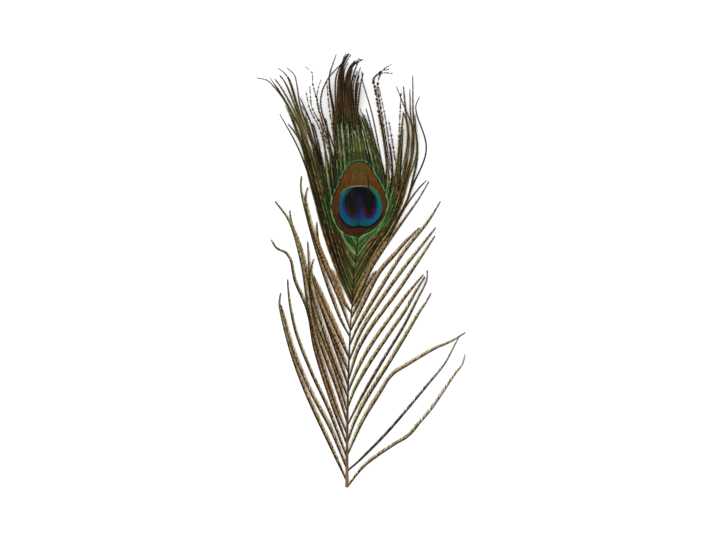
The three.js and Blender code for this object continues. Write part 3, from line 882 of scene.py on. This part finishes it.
def loose_barb(name, number):
    """A barb along its CAD strip, with a broad fringe on one side of its quill and a narrow one opposite.

    The fringe on the side toward the feather's tip is the upper one.
    """
    rng = np.random.default_rng(BARB_SEED + number)
    on_right = "right" in name
    styles = RIGHT_STYLES if on_right else LEFT_STYLES
    style = {**PLAIN_BARB, **styles[int(name[-2:])]}
    route = begun_on_shaft(sections(name)[0])
    fibres = Fibres(name + "_fibres")
    fibres.begin(number, steady(*style["hue"]), steady(*style["shade"]))
    upper = 1 if on_right else -1
    fibres.quill(route, steady(*BARB_RADIUS), shift=-QUILL_SHIFT * upper)
    size = steady(*style["wide"])
    wide = steady(*BARB_BROAD_SIDE)
    narrow = steady(*BARB_NARROW_SIDE)
    above = steady(*style["above"])
    gap = steady(*style["gap"])

    def reach(share, broad):
        return narrow(share) + broad * (size(share) * wide(share) - narrow(share))

    def reach_above(share):
        return reach(share, above(share))

    def reach_below(share):
        return reach(share, 1 - above(share))

    fibres.barbules(route, rng, BARB_FRINGE, upper, reach_above, gap, start=BARB_START)
    fibres.barbules(route, rng, BARB_UNDER_FRINGE, -upper, reach_below, gap, start=BARB_START)
    return fibres.mesh(BARB_LOOK)


def strand(fibres, route, style, rng, own):
    """Adds one strand of the crown to the fibres."""
    fibres.begin(own, steady(*style["hue"]), steady(*style["shade"]))
    radius = steady(*STRAND_RADIUS)
    fibres.quill(route, lambda share: style["quill"] * radius(share))
    wide = steady(*STRAND_SIDE)
    size = steady(*style["wide"])
    gap = steady(*style["gap"])
    for side in (1, -1):
        fibres.barbules(route, rng, style["fringe"], side, lambda share: size(share) * wide(share), gap)


def varied(style, rng):
    """The style with its shade, width and hue changed a little at random."""
    return {
        **style,
        "shade": [shade + rng.uniform(-0.5, 0.3) for shade in style["shade"]],
        "wide": [rng.uniform(0.7, 1.2)],
        "hue": [hue + rng.uniform(-0.3, 0.3) for hue in style["hue"]],
    }


def fillers(fibres, strip, style, rng):
    """The strands between this strip and its neighbours, each cut off and bent a little at random."""
    for (first, second), (count, back) in FILLERS.items():
        if first != strip:
            continue
        line = Route(sections(f"crown_{first:02d}")[0]).evenly(FILLER_POINTS)
        other = Route(sections(f"crown_{second:02d}")[0]).evenly(FILLER_POINTS)
        for k in range(count):
            part = (k + 1) / (count + 1) + rng.uniform(-0.15, 0.15)
            middle = (1 - part) * line + part * other
            middle[:, 0] += np.linspace(0, 1, FILLER_POINTS) ** 2 * rng.normal(0, FILLER_BEND)
            middle = middle[:rng.integers(8, FILLER_POINTS + 1)]
            own_style = varied(style, rng)
            route = begun_earlier(middle, back * rng.uniform(0.4, 1.5), FILLER_ROOT)
            strand(fibres, route, own_style, rng, FILLER_OWN + FILLER_OWN_STEP * k)


def crown_strand(name, number):
    """A strand along its CAD strip, with the thin ones between it and its neighbours."""
    rng = np.random.default_rng(STRAND_SEED + number)
    fibres = Fibres(name + "_fibres")
    strip = int(name[-2:])
    style = {**PLAIN_STRAND, **STRAND_STYLES.get(strip, {})}
    route = begun_earlier(sections(name)[0], STARTS.get(strip, USUAL_START), STRAND_ROOT)
    strand(fibres, route, style, rng, STRAND_OWN + number)
    fillers(fibres, strip, style, rng)
    return fibres.mesh(CROWN_LOOK)


def fan(guides, gaps, rng):
    """Barbs between the guides, from the outermost in. Each has its line, the share of it at which it ends,
    and its shade's levels from root to tip."""
    share = np.linspace(0, 1, FAN_POINTS)
    lines = []
    for guide in guides:
        on_shaft = [(shaft_x(guide[0][1]), guide[0][1])] + guide[1:]
        lines.append(Route(np.column_stack([on_shaft, np.zeros(len(guide))])).evenly(FAN_POINTS))
    barbs = []
    for k, (number, shortest, parting, pull, dark) in enumerate(gaps):
        for j in range(number):
            part = (j + rng.uniform(-0.25, 0.25)) / number if j else 0.0
            drawn = part + pull * (round(part) - part) * np.clip((share - parting) / 0.15, 0, 1)
            line = (1 - drawn[:, None]) * lines[k] + drawn[:, None] * lines[k + 1]
            shade = VANE_SHADES[2 * j % len(VANE_SHADES)] + rng.uniform(-0.3, 0.3)
            end_share = rng.uniform(shortest, 1)
            barbs.append((line, end_share, (shade, shade, shade, shade + dark, shade + dark)))
    barbs.append((lines[-1], 1.0, (0.5, 0.5)))
    return barbs


def vane_half(name, guides, gaps, side_of_shaft, seed):
    """The barbs of one half of the vane, and the barbules that fill the gap beside the shaft."""
    rng = np.random.default_rng(seed)
    fibres = Fibres(name + "_fibres")
    barbs = fan(guides, gaps, rng)
    hues = rng.uniform(-1, 1, len(barbs))
    share = np.linspace(0, 1, FAN_POINTS)
    wide = steady(*VANE_SIDE)
    gap = steady(*VANE_GAP)
    for number, (line, end_share, shade) in enumerate(barbs):
        root = VANE_ROOT if line[0, 1] < THIN_SHAFT else VANE_ROOT_OVER_SHAFT
        height = VANE_LOWEST + VANE_DEPTH * rng.random()
        line = line + CUT_END
        line[:, 2] = height + (root - height) * np.clip(1 - 10 * share, 0, 1)
        route = Route(line)
        end = route.length * end_share
        fibres.begin(VANE_OWN + VANE_OWN_STEP * number, steady(hues[number], hues[number]), steady(*shade))
        fibres.quill(route, steady(*VANE_RADIUS), end=end)
        for side in (1, -1):
            fibres.barbules(route, rng, VANE_FRINGE, side, wide, gap, start=VANE_START, end=end)
    y = np.linspace(guides[0][0][1], guides[-1][0][1], FAN_POINTS)
    height = np.full(len(y), BESIDE_SHAFT_ROOT)
    beside_shaft = Route(np.column_stack([shaft_x(y), y, height]) + CUT_END)
    fibres.begin(BESIDE_SHAFT_OWN, steady(0.3, 0.3), steady(0.3, 0.3))
    fibres.barbules(beside_shaft, rng, VANE_FRINGE, side_of_shaft, steady(*BESIDE_SHAFT_SIDE), steady(0, 0))
    return fibres


def pale_quills(fibres):
    """Adds the bare quills above the eye."""
    for line in PALE_QUILLS:
        middle = np.column_stack([line, PALE_QUILL_HEIGHTS]) + CUT_END
        fibres.begin(PALE_QUILL_OWN, steady(0, 0), steady(-1.2, -0.6))
        fibres.quill(Route(middle), steady(*PALE_QUILL_RADIUS))


def shaft():
    """The shaft, rounder than its CAD solid and of the same width."""
    fibres = Fibres("shaft_quill")
    fibres.begin(0.0, steady(0, 0), steady(0, 0))
    route = Route(shaft_middles * (1, 1, 0))
    along = np.linspace(0, route.length, SHAFT_POINTS)
    widths = np.interp(along, np.linspace(0, route.length, len(shaft_widths)), shaft_widths)
    half_height = SHAFT_HALF_HEIGHT * widths
    fibres.tube(route, along, 0.5 * widths, half_height, rise=half_height, sides=SHAFT_SIDES)
    return fibres.mesh(SHAFT_LOOK)


show(shaft(), "shaft", "shaft")
left_half = vane_half("eye_vane_left", LEFT_GUIDES, LEFT_GAPS, 1, LEFT_VANE_SEED)
pale_quills(left_half)
show(left_half.mesh(VANE_LOOK, painted=True), "eye_vane", "eye_vane_left")
right_half = vane_half("eye_vane_right", RIGHT_GUIDES, RIGHT_GAPS, -1, RIGHT_VANE_SEED)
show(right_half.mesh(VANE_LOOK, painted=True), "eye_vane", "eye_vane_right")
for number, name in enumerate(sorted(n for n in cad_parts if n.startswith("barb_"))):
    show(loose_barb(name, number), "barb", name)
for number, name in enumerate(sorted(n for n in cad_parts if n.startswith("crown_"))):
    show(crown_strand(name, number), "crown_strand", name)


# ---------------- the stage

VIEW_MIDDLE = (7.15, 141.05)
VIEW_WIDTH = 465.4  # how wide the photo is where the feather lies
LENS = 85.0
SENSOR = 36.0

# These are in metres and watts.
FLOOR_HALF = 3.0
FLOOR_Z = -0.0002  # just under the lowest barbules
SOFTBOX_PLACE = (-0.5, 0.5, 1.5)
SOFTBOX_SIZE = 2.4
SOFTBOX_POWER = 13
WORLD_STRENGTH = 1.18


def add_floor():
    """A wide pale floor under the feather."""
    mesh = bpy.data.meshes.new("floor")
    half = FLOOR_HALF
    corners = [(-half, -half, 0), (half, -half, 0), (half, half, 0), (-half, half, 0)]
    mesh.from_pydata(corners, [], [(0, 1, 2, 3)])
    mesh.materials.append(floor_material())
    floor = bpy.data.objects.new("floor", mesh)
    floor.location.z = FLOOR_Z
    bpy.context.collection.objects.link(floor)


def add_camera():
    """The photo's view, from straight above."""
    camera = bpy.data.objects.new("camera", bpy.data.cameras.new("camera"))
    camera.data.lens = LENS
    camera.data.sensor_width = SENSOR
    middle = (CUT_END[:2] + VIEW_MIDDLE) * MM
    camera.location = (*middle, VIEW_WIDTH * MM * LENS / SENSOR)
    bpy.context.collection.objects.link(camera)
    bpy.context.scene.camera = camera


def add_light():
    """A large soft light from the upper left, in a white room."""
    light = bpy.data.objects.new("softbox", bpy.data.lights.new("softbox", "AREA"))
    light.data.shape = "SQUARE"
    light.data.size = SOFTBOX_SIZE
    light.data.energy = SOFTBOX_POWER
    light.location = SOFTBOX_PLACE
    light.rotation_euler = light.location.to_track_quat("Z", "Y").to_euler()
    bpy.context.collection.objects.link(light)
    world = bpy.data.worlds.new("studio")
    world.use_nodes = True
    background = world.node_tree.nodes["Background"]
    background.inputs["Color"].default_value = (1, 1, 1, 1)
    background.inputs["Strength"].default_value = WORLD_STRENGTH
    bpy.context.scene.world = world


add_floor()
add_camera()
add_light()
bpy.context.scene.view_settings.view_transform = "Standard"
